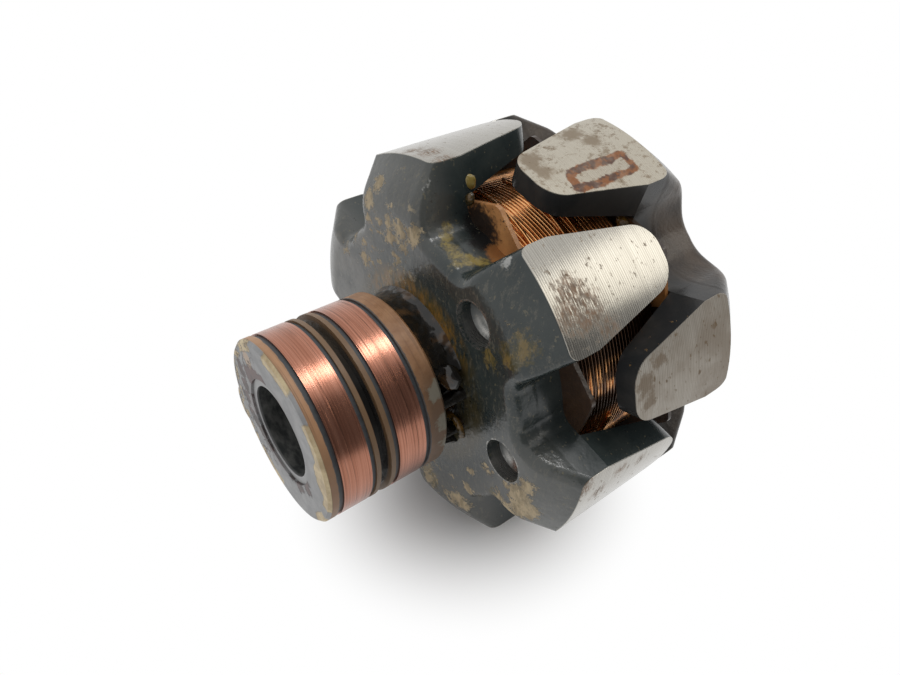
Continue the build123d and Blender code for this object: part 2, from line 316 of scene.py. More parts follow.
NOTCH_RUNS = [
    (0.2, -11.4, 26.5, 1.2), (1.6, -12.8, 26.5, 1.2), (2.4, -14.6, 26.4, 1.4), (3.6, -16.4, 26.2, 1.3),
    (5.4, -17.6, 25.9, 1.2), (7.4, -18.6, 25.4, 1.2), (9.2, -18.6, 24.8, 1.2), (10.8, -17.4, 24.2, 1.3),
    (12.0, -15.8, 23.6, 1.2), (10.4, -19.6, 24.4, 0.8)]
NOTCH_BOARD = [(11.4, -12.6, 23.9, 1.7), (12.8, -13.2, 23.2, 1.6)]
NOTCH_BLACK = [
    (7.2, -12.4, 25.5, 2.0), (4.6, -11.4, 26.1, 2.0), (9.2, -13.0, 24.9, 1.7), (8.2, -14.4, 25.2, 1.1)]
# Painted highlights: pale spots along the front edges of the claws stand in for glints of light on those
# edges.
EDGE_GLINTS = [
    (2.4, -17.3, 36.3, 0.7), (2.6, -18.0, 35.3, 0.6), (2.7, -18.7, 34.3, 0.5), (2.9, -19.3, 33.6, 0.5),
    (19.4, -18.7, 28.5, 0.6), (20.5, -18.4, 28.2, 0.7)]
ROOT_STAIN = [
    (-2.7, -14.1, 36.7, 1.8), (1.8, -14.5, 36.7, 1.6), (-6.0, -14.7, 36.3, 1.4), (36.4, -16.4, -5.3, 1.4),
    (36.6, -15.8, -3.4, 1.4), (36.2, -8.2, -6.6, 0.9), (35.6, -12.4, -9.0, 1.2), (35.9, -3.0, -7.8, 0.8),
    (27.6, -13.0, 24.2, 2.6), (29.6, -12.0, 21.8, 3.2), (29.5, -14.5, 21.9, 2.4), (31.6, -9.0, 18.8, 1.8)]
front_marks = TAN_FLAKES + OLIVE_RUNS + NOTCH_RUNS + NOTCH_BOARD + NOTCH_BLACK + EDGE_GLINTS + ROOT_STAIN
print("marks on the front piece", len(front_marks))

# %% [markdown]
# First come masks: numbers between 0 and 1 that say where each mark lies. Noise tears their edges.

# %% Masks of the front pole piece
f = Finish("front_pole_varnish")
cloud = f.noise(0.11, 4.0, 0.6, shift=11.0)
torn = (f.noise(0.65, 6.0, 0.78, shift=5.0) - 0.5) * 8.0
streak = f.noise(0.5, 4.0, 0.7, (1.6, 1.0, 0.6), 21.0)
front_face = f.y.step(-20.6, -21.4)
in_notch = f.radius.step(29.0, 27.5)
far_side = f.angle.math("COMPARE", -150.0, 85.0)
web = f.angle.band(114.0, 24.0, 8.0)
flakes = f.noise(0.30, 6.0, 0.7, (1.0, 0.7, 1.4), 5.0) + cloud * 0.3 + web * 0.015
stray = flakes.step(0.72, 0.78) * far_side.most(web)
tan = f.spots(TAN_FLAKES, torn).most(stray * front_face)
olive = f.spots(OLIVE_RUNS, torn, 0.7)
runs = f.spots(NOTCH_RUNS, torn * 0.4, 0.4) * in_notch
black = f.spots(NOTCH_BLACK, torn * 0.4, 0.8) * in_notch
orange = f.spots(NOTCH_BOARD, torn * 0.4, 0.5) * in_notch
hub = f.radius.step(20.0, 16.5) * front_face * (streak + cloud * 0.5).step(0.52, 0.78)
amber = hub * f.angle.band(85.0, 40.0, 25.0)
# Painted sheen: the left faces and the inner web of the front face, away from the claw at 38 degrees, are
# painted a paler grey where they would mirror the pale room.
sheen_on_web = (1 - f.angle.band(38.0, 28.0, 20.0)) * f.y.step(-13.0, -19.0) * f.radius.step(19.0, 27.0)
pale = (f.x.step(-4.0, -18.0) * front_face * cloud.step(0.25, 0.55)).most(sheen_on_web * 0.55)
scuff = f.noise(0.8, 6.0, 0.78, (1.5, 0.8, 0.6), 91.0).step(0.50, 0.68) * f.y.step(-17.0, -18.5)
dust = f.noise(1.1, 3.0, 0.6, shift=77.0)
print("nodes in the masks", len(f.tree.nodes))

# %% [markdown]
# Then the colours are laid over one another, the older marks first. Where two colours are given, noise blends
# them.

# %% Varnish of the front pole piece
FRONT_VARNISH = ((0.021, 0.031, 0.032), (0.040, 0.050, 0.048))
SHEEN_GREY = (0.160, 0.157, 0.144)
HUB_BROWN = (0.085, 0.062, 0.020)
AMBER = ((0.100, 0.075, 0.020), (0.300, 0.150, 0.024))
OLIVE = ((0.085, 0.072, 0.024), (0.235, 0.160, 0.045))
SPRAY_BLACK = (0.008, 0.008, 0.008)
BOARD_ORANGE = (0.340, 0.145, 0.045)
NOTCH_YELLOW = ((0.110, 0.085, 0.026), (0.310, 0.235, 0.066))
FLAKE_TAN = ((0.330, 0.255, 0.150), (0.570, 0.455, 0.285))
GLINT_WHITE = (0.500, 0.500, 0.480)
SCUFF_GREY = (0.215, 0.195, 0.150)
PALE_DUST = (0.180, 0.160, 0.105)
DARK_DUST = (0.008, 0.010, 0.010)
varnish = f.mix(cloud.step(0.35, 0.65), *FRONT_VARNISH)
# painted sheen over the varnish
varnish = f.mix(pale * 0.85, varnish, SHEEN_GREY)
varnish = f.mix(hub * 0.6, varnish, HUB_BROWN)
varnish = f.mix(amber * 0.85, varnish, f.mix(streak.step(0.40, 0.62), *AMBER))
varnish = f.mix(olive * 0.8, varnish, f.mix(streak.step(0.46, 0.58), *OLIVE))
varnish = f.mix(black, varnish, SPRAY_BLACK)
varnish = f.mix(orange, varnish, BOARD_ORANGE)
varnish = f.mix(runs * 0.9, varnish, f.mix(streak.step(0.36, 0.56), *NOTCH_YELLOW))
varnish = f.mix(tan * 0.9, varnish, f.mix(streak.step(0.4, 0.6), *FLAKE_TAN))
# painted highlights on the claw edges
varnish = f.mix(f.spots(EDGE_GLINTS, torn * 0.5) * 0.8, varnish, GLINT_WHITE)
varnish = f.mix(scuff * 0.42, varnish, SCUFF_GREY)
varnish = f.mix(dust.step(0.63, 0.70) * 0.6, varnish, PALE_DUST)
varnish = f.mix(dust.step(0.33, 0.28) * 0.6, varnish, DARK_DUST)
print("nodes with the colours", len(f.tree.nodes))

# %% [markdown]
# The two balance drillings were made after the varnish, so they are bare metal inside and at the lip. Fine
# rings in them follow the drill. Inside each hole the bare metal is painted only on the side that faces the
# light, as painted light, and the far side keeps the dark varnish as painted shade.

# %% Drillings and steel of the front pole piece
DRILLED_HOLES = [(16.67, 17.26), (23.29, -5.81)]
HOLE_EDGE = (3.98, 3.90)
HOLE_LIP = (3.94, 0.12, 0.08)
FRONT_SHINE = 0.5
bright = None
for hole_x, hole_z in DRILLED_HOLES:
    across, along = f.x - hole_x, f.z - hole_z
    away = (across * across + along * along).math("SQRT")
    rings = ((away + f.y) * 14.0 + torn * 0.3).math("SINE") * 0.18 + torn * 0.14 + 0.66
    # Painted light: only one side of each hole gets the bright metal, and the rest keeps the varnish as
    # shade.
    lit = (across * 0.6 - along * 0.8).step(-2.8, 1.8)
    lip = away.band(*HOLE_LIP) * front_face * torn.step(-0.2, 0.5) * 0.8
    drilled_and_lit = away.step(*HOLE_EDGE) * f.y.step(-17.5, -18.0) * lit * rings * (1 - front_face) + lip
    bright = bright.most(drilled_and_lit) if bright else drilled_and_lit
patches = f.noise(0.8, 4.0, 0.7, (1.2, 3.0, 0.8), 8.0).step(0.36, 0.60)
stain = f.spots(ROOT_STAIN, torn * 0.7, 1.2) * 0.85 * patches
front_pole = close_pole(f, varnish, tan, stain, stain * 0.35, 0.0, FRONT_SHINE, bright=bright)
dress(front_pole, nodes["front_claw_pole"])

# %% [markdown]
# The rear piece is browner behind its shoulder. One of its claws carries a rust mark in the form of a rounded
# rectangle, where something lay on it. The distance to such an outline is a short sum: how far a point is
# outside the straight sides, less the radius of the corners.

# %% Varnish of the rear pole piece
REAR_VARNISH = ((0.029, 0.030, 0.031), (0.050, 0.047, 0.044))
SHOULDER_BROWN = ((0.050, 0.043, 0.038), (0.112, 0.086, 0.067))
FLECK_ORANGE = (0.360, 0.200, 0.060)
f = Finish("rear_pole_varnish")
cloud = f.noise(0.11, 4.0, 0.6, shift=42.0)
torn = (f.noise(0.55, 5.0, 0.7, shift=36.0) - 0.5) * 7.0
shoulder = (f.y + cloud * 5.0).step(16.5, 22.0)
varnish = f.mix(cloud.step(0.35, 0.65), *REAR_VARNISH)
varnish = f.mix(shoulder, varnish, f.mix(cloud.step(0.3, 0.7), *SHOULDER_BROWN))
fleck = f.noise(0.7, 5.0, 0.7, shift=50.0).step(0.64, 0.70)
fleck = fleck * f.radius.step(33.0, 36.0) * f.angle.band(22.0, 6.0, 4.0)
varnish = f.mix(fleck, varnish, FLECK_ORANGE)
print("nodes in the varnish", len(f.tree.nodes))

# %% Rust mark and stains of the rear pole piece
MM_PER_DEGREE = ROTOR_RADIUS * math.pi / 180
MARK_ANGLE, MARK_Y = 65.3, 5.6
MARK_HALF_ROUND, MARK_HALF_LONG, MARK_CORNER = 0.9, 5.5, 0.8
OLD_STAINS = [
    (8.8, -3.5, 35.7, 2.0), (12.1, -3.4, 34.7, 1.6), (6.1, 7.8, 36.2, 2.2), (8.9, 9.6, 35.7, 1.6),
    (17.5, 7.5, 32.3, 0.9), (35.8, -4.3, 8.4, 2.2), (36.4, -3.4, 5.4, 1.6), (35.1, -0.5, 10.9, 1.6)]
SCRATCHES = [(35.0, 13.0, 11.2, 0.7), (36.3, 11.4, 5.7, 0.4), (36.5, 8.9, 4.6, 0.5)]
REAR_SHINE = 0.2
round_side = ((f.angle - MARK_ANGLE) * MM_PER_DEGREE).math("ABSOLUTE") - MARK_HALF_ROUND
long_side = (f.y - MARK_Y).math("ABSOLUTE") - MARK_HALF_LONG
outside = round_side.most(0.0).math("POWER", 2.0) + long_side.most(0.0).math("POWER", 2.0)
rim = outside.math("SQRT") + round_side.most(long_side).least(0.0) - MARK_CORNER + torn * 0.10
rim = rim + (f.noise(0.28, 3.0, 0.6, shift=70.0) - 0.5) * 1.6
rust_ring = (rim.math("ABSOLUTE") - f.noise(0.4, 4.0, 0.65, shift=73.0) * 1.7).step(0.15, -0.25)
rust = rust_ring * (0.95 + torn * 0.15).least(1.0)
old_stain = f.spots(OLD_STAINS, torn, 1.0) * 0.75
scratch = f.spots(SCRATCHES, torn * 0.25, 0.3)
inside = rim.step(0.0, -0.3) * 0.18
# Darkens the turned steel of the claw round 8 degrees about the axis, more towards the back and in clouds.
dull = f.angle.band(8.0, 20.0, 4.0) * (0.16 + f.y.step(-8.0, 6.0) * 0.18 + cloud.step(0.40, 0.65) * 0.26)
patchy = f.angle.band(72.0, 18.0, 3.0) * f.noise(0.55, 6.0, 0.8, (1.0, 0.7, 1.0), 61.0).step(0.51, 0.62)
stain = old_stain.most(scratch * 0.9).most(inside).most(dull).most(patchy * 0.7)
film = f.angle.band(68.0, 22.0, 3.0) * 0.6
dress(close_pole(f, varnish, fleck, stain, rust, 31.0, REAR_SHINE, film), nodes["rear_claw_pole"])

# %% [markdown]
# ## Slip rings
# The brushes polish the copper and score it with fine rings, so the scratches depend on the place along the
# axis and hardly at all on the place round it.

# %% Copper of the rings
RING_COPPER = ((0.275, 0.111, 0.069), (0.470, 0.223, 0.155))
COPPER_TARNISH = (0.120, 0.056, 0.037)
f = Finish("ring_copper")
score = f.noise(1.0, 4.0, 0.65, (0.02, 5.0, 0.02))
deep = f.noise(1.0, 2.0, 0.5, (0.05, 2.6, 0.05), 14.0).step(0.60, 0.68)
tarnish = f.noise(0.25, 4.0, 0.6, (0.5, 2.5, 0.5), 5.0)
copper = f.mix(score.step(0.3, 0.7), *RING_COPPER)
copper = f.mix((deep * 0.5).most(tarnish.step(0.58, 0.78) * 0.45), copper, COPPER_TARNISH)
relief = f.bump(score + deep * -0.6, 0.02)
rough = 0.18 + score * 0.08 + tarnish * 0.06
ring_copper = f.done(Base_Color=copper, Metallic=1.0, Roughness=rough, Normal=relief)
dress(ring_copper, nodes["outer_slip_ring"], nodes["inner_slip_ring"])

# %% [markdown]
# The body of the rings is brown moulded phenolic. Brush dust darkens it in streaks round the rings. Painted
# shade darkens it below and on the land behind the rings, and the resin in the groove is painted darker
# towards the bottom as shade.

# %% Phenolic body of the rings
PHENOLIC = ((0.31, 0.145, 0.060), (0.45, 0.245, 0.122))
FRONT_LAND_BROWN = (0.520, 0.290, 0.155)
BRUSH_DUST_AND_SHADE = (0.115, 0.062, 0.032)
THIN_LAND_BROWN = (0.155, 0.095, 0.048)
BACK_LAND_SHADE_BROWN = (0.095, 0.066, 0.046)
WORN_GREY = (0.26, 0.25, 0.20)
GROOVE_RESIN_AND_SHADE = ((0.040, 0.038, 0.036), (0.120, 0.092, 0.064))
SEAL_SMEAR = (0.060, 0.068, 0.075)
BACK_LAND_WEAR = [(14.5, -27.4, 6.5, 1.8), (15.6, -27.0, 1.0, 1.9), (15.2, -26.8, -3.5, 1.5)]
f = Finish("ring_phenolic")
cloud = f.noise(0.3, 5.0, 0.65)
torn = (f.noise(0.6, 5.0, 0.7, shift=9.0) - 0.5) * 5.0
score = f.noise(1.0, 3.0, 0.6, (0.05, 4.0, 0.05))
brown = f.mix(cloud.step(0.3, 0.7), *PHENOLIC)
brown = f.mix(f.y.step(-45.0, -46.5) * 0.6, brown, FRONT_LAND_BROWN)
# Painted shade: the body is darker towards the bottom. The scored streaks are brush dust.
below = f.angle.band(-75.0, 75.0, 55.0)
brown = f.mix((score.step(0.5, 0.75) * 0.6).most(below * 0.6), brown, BRUSH_DUST_AND_SHADE)
thin_lands = f.y.band(-38.65, 2.6, 0.3)
brown = f.mix(thin_lands * 0.8, brown, THIN_LAND_BROWN)
# Painted shade: the land behind the rings is darker on its lower side, below about 40 degrees round the axis.
back_land_shade = f.y.step(-31.0, -29.0) * f.angle.step(52.0, 22.0)
brown = f.mix(back_land_shade * 0.55, brown, BACK_LAND_SHADE_BROWN)
worn = f.spots(BACK_LAND_WEAR, torn * 0.8)
brown = f.mix(worn * 0.8, brown, WORN_GREY)
# The groove holds dark resin, painted darker still towards the bottom as shade.
groove = f.radius.step(15.3, 14.6) * f.y.step(-48.5, -48.2)
brown = f.mix(groove, brown, f.mix(f.angle.step(40.0, 95.0), *GROOVE_RESIN_AND_SHADE))
smear = (f.y + torn * 0.10).step(-47.15, -47.05) * f.y.step(-46.0, -46.5)
smear = smear.most((f.y + torn * 0.12).step(-30.05, -30.15) * f.y.step(-31.0, -30.6))
brown = f.mix(smear * 0.85, brown, SEAL_SMEAR)
print("nodes in the brown", len(f.tree.nodes))

# %% [markdown]
# The front face of the body was painted grey. The paint has come off along the outer edge, where the cream
# filler shows in strips, and beside the bore, where it is scraped to the dark. A scrape is given by X, Z and
# a radius, a strip by the middle of its angle and half its width.

# %% Paint on the front face of the rings
FACE_Y = -48.8
SCRAPES = [
    (-4.3, 8.5, 1.4), (-1.8, 9.3, 1.0), (-7.2, 7.2, 1.6), (-10.8, 3.1, 1.0), (-10.6, 6.0, 0.9),
    (-11.2, 7.1, 0.8), (-11.8, 0.3, 0.9), (-8.4, 1.7, 0.8), (-11.3, -2.7, 0.8), (-9.8, -4.0, 0.9),
    (4.4, -8.8, 1.0), (7.8, -4.9, 0.7), (3.2, -8.1, 0.8), (7.9, -6.6, 0.9), (1.1, -8.6, 0.7),
    (-6.1, -7.6, 0.8), (-8.2, -5.6, 0.9)]
CREAM_STRIPS = [(117.0, 9.0), (73.0, 14.0), (8.0, 30.0), (-44.0, 7.0), (-115.0, 10.0)]
PINK_SPOTS = [(-6.6, 10.8, 1.5), (-6.1, 9.5, 1.1)]
FACE_GREY = ((0.28, 0.28, 0.285), (0.385, 0.385, 0.385))
CREAM_FILLER = ((0.44, 0.33, 0.19), (0.76, 0.62, 0.38))
PINK_FILLER = (0.52, 0.40, 0.30)
SCRAPED_DARK = ((0.060, 0.045, 0.042), (0.130, 0.082, 0.078))
face = f.y.step(-48.20, -48.34)
strips = f.angle.math("ABSOLUTE").step(120.0, 124.0) * torn.step(-0.2, 0.1)
for middle, half in CREAM_STRIPS:
    strips = strips.most((f.angle + torn * 1.5).band(middle, half, 2.0))
chips = strips * (f.radius + torn * 0.3 + f.angle.band(2.0, 6.0, 10.0) * 1.6).step(14.0, 14.3)
crack = f.noise(0.30, 5.0, 0.6, shift=55.0).band(0.5, 0.005, 0.010) * f.x.step(-2.0, -7.0)
rubbed = f.radius.step(11.5, 9.0) * cloud.step(0.40, 0.60) * 0.5
scrapes = f.spots([(x, FACE_Y, z, radius) for x, z, radius in SCRAPES], torn * 0.8 + 0.4)
scrapes = scrapes.most(crack).most(rubbed)
pink = f.spots([(x, FACE_Y, z, radius) for x, z, radius in PINK_SPOTS], torn * 0.5)
paint = f.mix(cloud.step(0.35, 0.65), *FACE_GREY)
paint = f.mix(chips, paint, f.mix(cloud.step(0.3, 0.7), *CREAM_FILLER))
paint = f.mix(pink, paint, PINK_FILLER)
paint = f.mix(scrapes * 0.95, paint, f.mix(cloud.step(0.4, 0.6), *SCRAPED_DARK))
colour = f.mix(face, brown, paint)
relief = f.bump(cloud * 0.5 + (chips + scrapes) * face * -0.6, 0.25)
ring_phenolic = f.done(Base_Color=colour, Roughness=0.5 - groove * 0.32, Normal=relief)
dress(ring_phenolic, nodes["slip_ring_body"])

# %% [markdown]
# The seals at the edges of the rings are black and dull. The sleeve in the bore and the core are bare steel
# that has gone dark, apart from the rim at the front.

# %% Seals, sleeve and core
SEAL_BLACK = ((0.026, 0.031, 0.036), (0.085, 0.096, 0.105))
DARK_STEEL = ((0.07, 0.075, 0.075), (0.20, 0.20, 0.19))
RIM_STEEL = (0.34, 0.34, 0.34)
f = Finish("ring_seal")
cloud = f.noise(0.8, 3.0)
ring_seal = f.done(Base_Color=f.mix(cloud, *SEAL_BLACK), Roughness=0.45 + cloud * 0.2)
for ring in ("outer", "inner"):
    dress(ring_seal, nodes[ring + "_ring_front_seal"], nodes[ring + "_ring_rear_seal"])

f = Finish("dull_steel")
cloud = f.noise(0.4, 4.0, 0.6, (1.0, 2.0, 1.0))
rim = f.y.step(-47.9, -48.3)
steel = f.mix(cloud.step(0.35, 0.7), *DARK_STEEL)
steel = f.mix(rim, steel, RIM_STEEL)
dull_steel = f.done(Base_Color=steel, Metallic=0.8, Roughness=0.42 + cloud * 0.2, Normal=f.bump(cloud, 0.05))
dress(dull_steel, nodes["slip_ring_sleeve"], nodes["pole_core"])

# %% [markdown]
# ## Insulation
# The washers beside the coil are orange-brown board. Black varnish has been blown against the front one and
# fades away in fine drops. The resin collar behind the rings is nearly black and as shiny as glass.

# %% Insulating board
COIL_BOARD = ((0.42, 0.180, 0.058), (0.62, 0.295, 0.105))
BOARD_BLACK = ((0.005, 0.004, 0.004), (0.040, 0.020, 0.010))
SPRAY_PLACE = (6.0, -11.7, 25.6)
f = Finish("coil_board")
cloud = f.noise(0.18, 4.0, 0.6)
drops = f.noise(1.3, 4.0, 0.7, shift=3.0)
spray = f.distance(SPRAY_PLACE)
board = f.mix(cloud.step(0.35, 0.65), *COIL_BOARD)
clean = f.angle.band(75.0, 32.0, 6.0) * f.y.step(0.0, -2.0)
clean = clean.most(f.angle.band(28.0, 4.0, 1.5) * f.y.step(8.0, 10.0))
black = (drops * 7.0 - spray).step(-2.4, 0.2).most((drops + cloud * 0.3).step(0.78, 0.84))
black = black.most((1.3 - clean - drops * 0.4).step(0.45, 0.75) * 0.96)
board = f.mix(black * 0.97, board, f.mix(drops.step(0.5, 0.8), *BOARD_BLACK))
coil_board = f.done(Base_Color=board, Roughness=0.22 + drops * 0.2, Normal=f.bump(cloud, 0.3))
dress(coil_board, nodes["front_bobbin_washer"], nodes["rear_bobbin_washer"], nodes["bobbin_tube"])

# %% Dark resin and amber varnish
DARK_RESIN = ((0.012, 0.010, 0.008), (0.100, 0.052, 0.020))
AMBER_VARNISH = ((0.040, 0.030, 0.012), (0.260, 0.130, 0.022))
AMBER_CLOT = (0.016, 0.013, 0.009)
YELLOW_VARNISH = ((0.190, 0.135, 0.030), (0.400, 0.300, 0.085))
f = Finish("dark_resin")
cloud = f.noise(0.3, 4.0, 0.6)
ripple = f.noise(0.36, 1.0, 0.5, shift=4.0)
resin = f.mix(cloud.step(0.50, 0.72), *DARK_RESIN)
relief = f.bump(cloud * 0.15 + ripple, 0.8)
dark_resin = f.done(Base_Color=resin, Roughness=0.07, Specular_IOR_Level=0.5, Normal=relief)
dress(dark_resin, nodes["resin_collar"], nodes["upper_coil_lead"], nodes["lower_coil_lead"])

f = Finish("amber_varnish")
cloud = f.noise(0.35, 5.0, 0.65)
clot = f.noise(0.9, 3.0, 0.6, shift=6.0)
amber = f.mix(cloud.step(0.40, 0.66), *AMBER_VARNISH)
amber = f.mix(clot.step(0.60, 0.70) * 0.7, amber, AMBER_CLOT)
amber_varnish = f.done(Base_Color=amber, Roughness=0.14, Normal=f.bump(clot, 0.35))

f = Finish("yellow_varnish")
cloud = f.noise(0.8, 3.0, 0.6)
yellow_varnish = f.done(Base_Color=f.mix(cloud, *YELLOW_VARNISH), Roughness=0.24)

# %% [markdown]
# ## The winding
# The CAD part has only the outside form of the coil. Here it becomes wire: a small circle is turned round the
# axis by the Screw modifier, and climbs by one wire at each turn, as on the winding machine. Two layers lie
# one in the gaps of the other.

# %% Wind the wire
WIRE_RADIUS = 0.36 * MM
WIRE_PITCH = 0.74 * MM
WIRE_SIDES = 8
STEPS_PER_TURN = 88
SECOND_LAYER_DEPTH = 2.8
COIL_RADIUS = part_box("field_winding")[1].x
COIL_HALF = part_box("field_winding")[1].y


def wind(name, radius, first_angle, start_y, sweep, climb, turns, steps):
    """A helix of wire about the rotor axis. In each turn it sweeps by an angle and climbs along +Y."""
    around = math.radians(first_angle)
    start = (radius * math.cos(around), start_y, radius * math.sin(around))
    bpy.ops.object.select_all(action="DESELECT")
    bpy.ops.mesh.primitive_circle_add(vertices=WIRE_SIDES, radius=WIRE_RADIUS, rotation=(0, -around, 0),
                                      location=start)
    bpy.ops.object.transform_apply(location=True, rotation=True)
    wire = bpy.context.object
    wire.name = wire.data.name = name
    screw = wire.modifiers.new("wind", "SCREW")
    screw.axis = "Y"
    screw.angle = math.radians(sweep)
    screw.screw_offset = climb
    screw.iterations = turns
    screw.steps = screw.render_steps = steps
    bpy.ops.object.modifier_apply(modifier=screw.name)
    bpy.ops.object.mode_set(mode="EDIT")
    bpy.ops.mesh.select_all(action="SELECT")
    bpy.ops.mesh.fill_holes(sides=WIRE_SIDES)
    bpy.ops.mesh.normals_make_consistent(inside=False)
    bpy.ops.object.mode_set(mode="OBJECT")
    bpy.ops.object.shade_smooth()
    return wire


turns = int((2 * COIL_HALF - 4 * WIRE_RADIUS) / WIRE_PITCH) - 1
top_layer = wind("winding_top_layer", COIL_RADIUS - WIRE_RADIUS, 0.0, -turns * WIRE_PITCH / 2,
                 360.0, WIRE_PITCH, turns, STEPS_PER_TURN)
second_layer = wind("winding_second_layer", COIL_RADIUS - WIRE_RADIUS * SECOND_LAYER_DEPTH, 0.0,
                    WIRE_RADIUS - COIL_HALF, 360.0, WIRE_PITCH, turns + 1, STEPS_PER_TURN)
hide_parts("field_winding")
print("turns in a layer", turns, "faces", len(top_layer.data.polygons))

# %% [markdown]
# A few strands of the last layer do not lie in line: they come off the front washer and cross the turns
# below. Each is the same small circle with a short sweep and a long climb: its first angle, its sweep, where
# it starts along the axis and how far it climbs. They are joined to one piece.

# %% Crossing strands
CROSSINGS = [
    (94.0, -72.0, -9.6, 4.6), (91.0, -78.0, -8.6, 3.4), (88.0, -60.0, -9.8, 3.0), (58.0, -86.0, -7.4, 5.2),
    (31.0, -66.0, -2.0, 3.6), (24.0, -70.0, 0.6, 3.0), (150.0, -70.0, -7.0, 5.0), (210.0, -80.0, -8.0, 6.0),
    (275.0, -75.0, -6.0, 5.0)]
CROSSING_RADIUS = COIL_RADIUS + WIRE_RADIUS * 0.7
CROSSING_STEPS = 20
strands = [wind("strand", CROSSING_RADIUS, angle, start * MM, sweep, climb * MM, 1, CROSSING_STEPS)
           for angle, sweep, start, climb in CROSSINGS]
bpy.ops.object.select_all(action="DESELECT")
for strand in strands:
    strand.select_set(True)
bpy.context.view_layer.objects.active = strands[0]
bpy.ops.object.join()
strands = strands[0]
strands.name = strands.data.name = "crossing_strands"
for wire in (top_layer, second_layer, strands):
    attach(wire, "root")
print("crossing strands", len(CROSSINGS))

# %% [markdown]
# The wire is copper under clear enamel. It is dark where varnish has soaked in, and it is painted dark as
# shade in bands between the claws, where they overhang it, and between its strands there.

# %% Enamelled copper
ENAMELLED_COPPER = ((0.62, 0.235, 0.062), (1.00, 0.510, 0.200))
SOAKED_AND_SHADED_COPPER = (0.040, 0.019, 0.011)
f = Finish("enamelled_wire")
cloud = f.noise(0.12, 4.0, 0.6)
strand = f.noise(1.0, 2.0, 0.5, (0.06, 1.4, 0.06), 2.0)
copper = f.mix(strand.step(0.3, 0.7), *ENAMELLED_COPPER)
# The clouds are soaked-in varnish. The angle bands and the gaps between strands are painted shade under the
# claws.
dark = (cloud.step(0.54, 0.68) * 0.85).most(f.angle.band(24.0, 8.0, 7.0) * 0.95)
dark = dark.most(f.angle.band(-2.0, 3.0, 4.0) * 0.9)
gaps = f.noise(1.0, 1.0, 0.5, (0.05, 0.8, 0.05), 12.0).step(0.56, 0.48) * f.angle.band(14.0, 10.0, 6.0)
copper = f.mix(dark.most(gaps * 0.92), copper, SOAKED_AND_SHADED_COPPER)
enamelled_wire = f.done(Base_Color=copper, Metallic=0.9, Roughness=0.20, Coat_Weight=0.4, Coat_Roughness=0.08)
dress(enamelled_wire, top_layer, second_layer, strands)

# %% [markdown]
# ## Lumps and loops of the coil leads
# The leads come out of the coil beside the resin collar. The upper one ends in a shiny lump, and the lower
# one bends back in a loop. Drops of varnish have set on a claw, a washer and the coil, and resin stands
# ragged at the front edge of the ring unit. A lump starts as a ball that is squashed, roughened and rounded
# again. The loop is a small circle spun about a point beside it.


# %% Model the lumps
def lump(name, place, size, lean, seed):
    """A hardened drop of varnish: place, half sizes and lean in millimetres and degrees."""
    bpy.ops.object.select_all(action="DESELECT")
    bpy.ops.mesh.primitive_uv_sphere_add(segments=14, ring_count=8, radius=MM, location=Vector(place) * MM,
                                         rotation=[math.radians(angle) for angle in lean], scale=size)
    bpy.ops.object.transform_apply(location=True, rotation=True, scale=True)
    drop = bpy.context.object
    drop.name = drop.data.name = name
    bpy.ops.object.mode_set(mode="EDIT")
    bpy.ops.mesh.select_all(action="SELECT")
    bpy.ops.transform.vertex_random(offset=0.22 * min(size) * MM, uniform=0.3, normal=0.6, seed=seed)
    bpy.ops.mesh.vertices_smooth(factor=0.4, repeat=1)
    bpy.ops.object.mode_set(mode="OBJECT")
    rounder = drop.modifiers.new("rounder", "SUBSURF")
    rounder.levels = rounder.render_levels = 1
    bpy.ops.object.modifier_apply(modifier=rounder.name)
    bpy.ops.object.shade_smooth()
    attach(drop, "root")
    return drop


lead_lump = lump("upper_lead_lump", (13.2, -24.0, 6.6), (2.3, 2.0, 2.3), (0, -30, 20), 3)
flank_drop = lump("flank_varnish_drop", (2.2, -10.2, 32.1), (0.8, 1.2, 1.5), (25, 0, 0), 5)
corner_drop = lump("washer_corner_drop", (4.4, -12.0, 30.4), (0.9, 0.8, 1.3), (0, 20, 0), 7)
coil_drop = lump("coil_varnish_drop", (8.4, -8.4, 27.4), (0.8, 0.8, 0.7), (0, 0, 0), 9)
rear_lump = lump("rear_lead_lump", (16.5, 11.4, 22.9), (2.2, 1.7, 1.3), (0, 35, 30), 11)
edge_flash = lump("front_edge_flash", (-15.6, -47.75, -4.8), (3.8, 1.0, 4.4), (0, -17, 0), 13)
dress(ring_phenolic, edge_flash)
dress(dark_resin, lead_lump)
dress(yellow_varnish, flank_drop)
dress(amber_varnish, corner_drop, coil_drop, rear_lump)
drops = (lead_lump, flank_drop, corner_drop, coil_drop, rear_lump, edge_flash)
print("faces of the lumps", [len(piece.data.polygons) for piece in drops])

# %% Model the loop
LOOP_SIDES = 10
LOOP_WIRE_RADIUS = 0.6 * MM
LOOP_START = Vector((15.0, -23.4, -5.2)) * MM
LOOP_CENTRE = Vector((12.4, -23.4, -5.2)) * MM
LOOP_SWEEP = 230
bpy.ops.object.select_all(action="DESELECT")
bpy.ops.mesh.primitive_circle_add(vertices=LOOP_SIDES, radius=LOOP_WIRE_RADIUS, location=LOOP_START)
bpy.ops.object.transform_apply(location=True)
loop = bpy.context.object
loop.name = loop.data.name = "lower_lead_loop"
bpy.ops.object.mode_set(mode="EDIT")
bpy.ops.mesh.select_all(action="SELECT")
bpy.ops.mesh.spin(steps=22, angle=math.radians(LOOP_SWEEP), center=LOOP_CENTRE, axis=(0.0, 1.0, 0.0))
bpy.ops.mesh.select_all(action="SELECT")
bpy.ops.mesh.fill_holes(sides=LOOP_SIDES)
bpy.ops.mesh.normals_make_consistent(inside=False)
bpy.ops.object.mode_set(mode="OBJECT")
bpy.ops.object.shade_smooth()

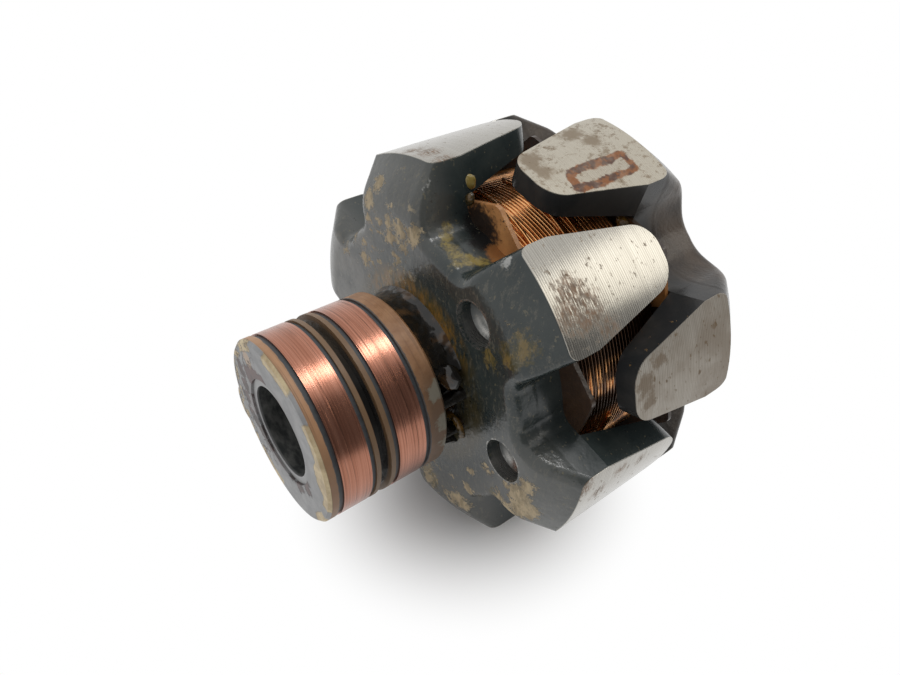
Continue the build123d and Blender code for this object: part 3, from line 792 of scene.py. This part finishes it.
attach(loop, "root")
dress(amber_varnish, loop)
print("loop faces", len(loop.data.polygons))

# %% [markdown]
# ## Table and light
# The rotor lies on a white table. Near it the table is an ordinary white surface that takes the shadow.
# Farther off it passes into plain white for the camera and for the metal that mirrors it.


# %% Table
def sight(f):
    """1 for what is seen, straight, in metal or through glass, and 0 for the light that falls on things."""
    return f.ray("Is Camera Ray").most(f.ray("Is Glossy Ray")).most(f.ray("Is Transmission Ray"))


TABLE_SIZE = 0.26
SHADOW_MIDDLE = (-2.0, -10.0)
SHADOW_FADE = (9.0, 40.0)
TABLE_WHITE = (0.93, 0.93, 0.93)
WHITE = (1.0, 1.0, 1.0)
FLOOR_HEIGHT = cad_box[0][2]
bpy.ops.object.select_all(action="DESELECT")
bpy.ops.mesh.primitive_plane_add(size=TABLE_SIZE, location=(0, 0, FLOOR_HEIGHT))
bpy.ops.object.transform_apply(location=True)
table = bpy.context.object
table.name = "white_table"
f = Finish("white_table")
far = f.distance((*SHADOW_MIDDLE, FLOOR_HEIGHT / MM)).step(*SHADOW_FADE)
surface = f.node("ShaderNodeBsdfPrincipled", {}, {"Base Color": TABLE_WHITE, "Roughness": 0.6})
glow = f.node("ShaderNodeEmission", {}, {"Color": WHITE, "Strength": 1.0})
dress(f.close(f.node("ShaderNodeMixShader", {}, {0: far * sight(f), 1: surface, 2: glow})), table)

# %% [markdown]
# One soft lamp above draws the bright bar on the slip rings, and a larger one from behind on the right draws
# the band on the nearest claw. The room is white to the eye and pale grey for the light it gives. It has one
# dark side on the right, which the rings mirror as a brown bar.


# %% Lamps and surroundings
def soft_lamp(name, direction, distance, size, power, tint):
    """A square lamp that faces the rotor from a direction."""
    data = bpy.data.lights.new(name, "AREA")
    data.size, data.energy, data.color = size, power, tint
    lamp = bpy.data.objects.new(name, data)
    lamp.location = Vector(direction).normalized() * distance
    lamp.rotation_euler = (-lamp.location).to_track_quat("-Z", "Y").to_euler()
    bpy.context.scene.collection.objects.link(lamp)
    print("lamp", name, power, "W")


WARM_WHITE = (1.0, 0.96, 0.87)
WALL_GREY = (0.60, 0.60, 0.60)
DARK_GREY = (0.17, 0.17, 0.17)
DARK_HEADING = (0.952, 0.100, 0.290)
DARK_EDGE = (0.68, 0.84)
soft_lamp("top_lamp", (0.13, 0.30, 0.94), 0.60, 0.15, 0.70, WHITE)
soft_lamp("rear_lamp", (0.54, 0.68, 0.49), 0.70, 0.28, 0.50, WARM_WHITE)
room = Finish("pale_room", bpy.data.worlds, "World")
heading = room.node("ShaderNodeTexCoord", {}, {}, "Generated")
to_dark = {0: heading, 1: DARK_HEADING}
facing = room.node("ShaderNodeVectorMath", {"operation": "DOT_PRODUCT"}, to_dark, "Value")
dark_side = facing.step(*DARK_EDGE) * (1 - room.ray("Is Camera Ray"))
wall = room.mix(sight(room), WALL_GREY, WHITE)
wall = room.mix(dark_side, wall, DARK_GREY)
background = room.node("ShaderNodeBackground", {}, {"Color": wall, "Strength": 1.0})
bpy.context.scene.world = room.close(background)
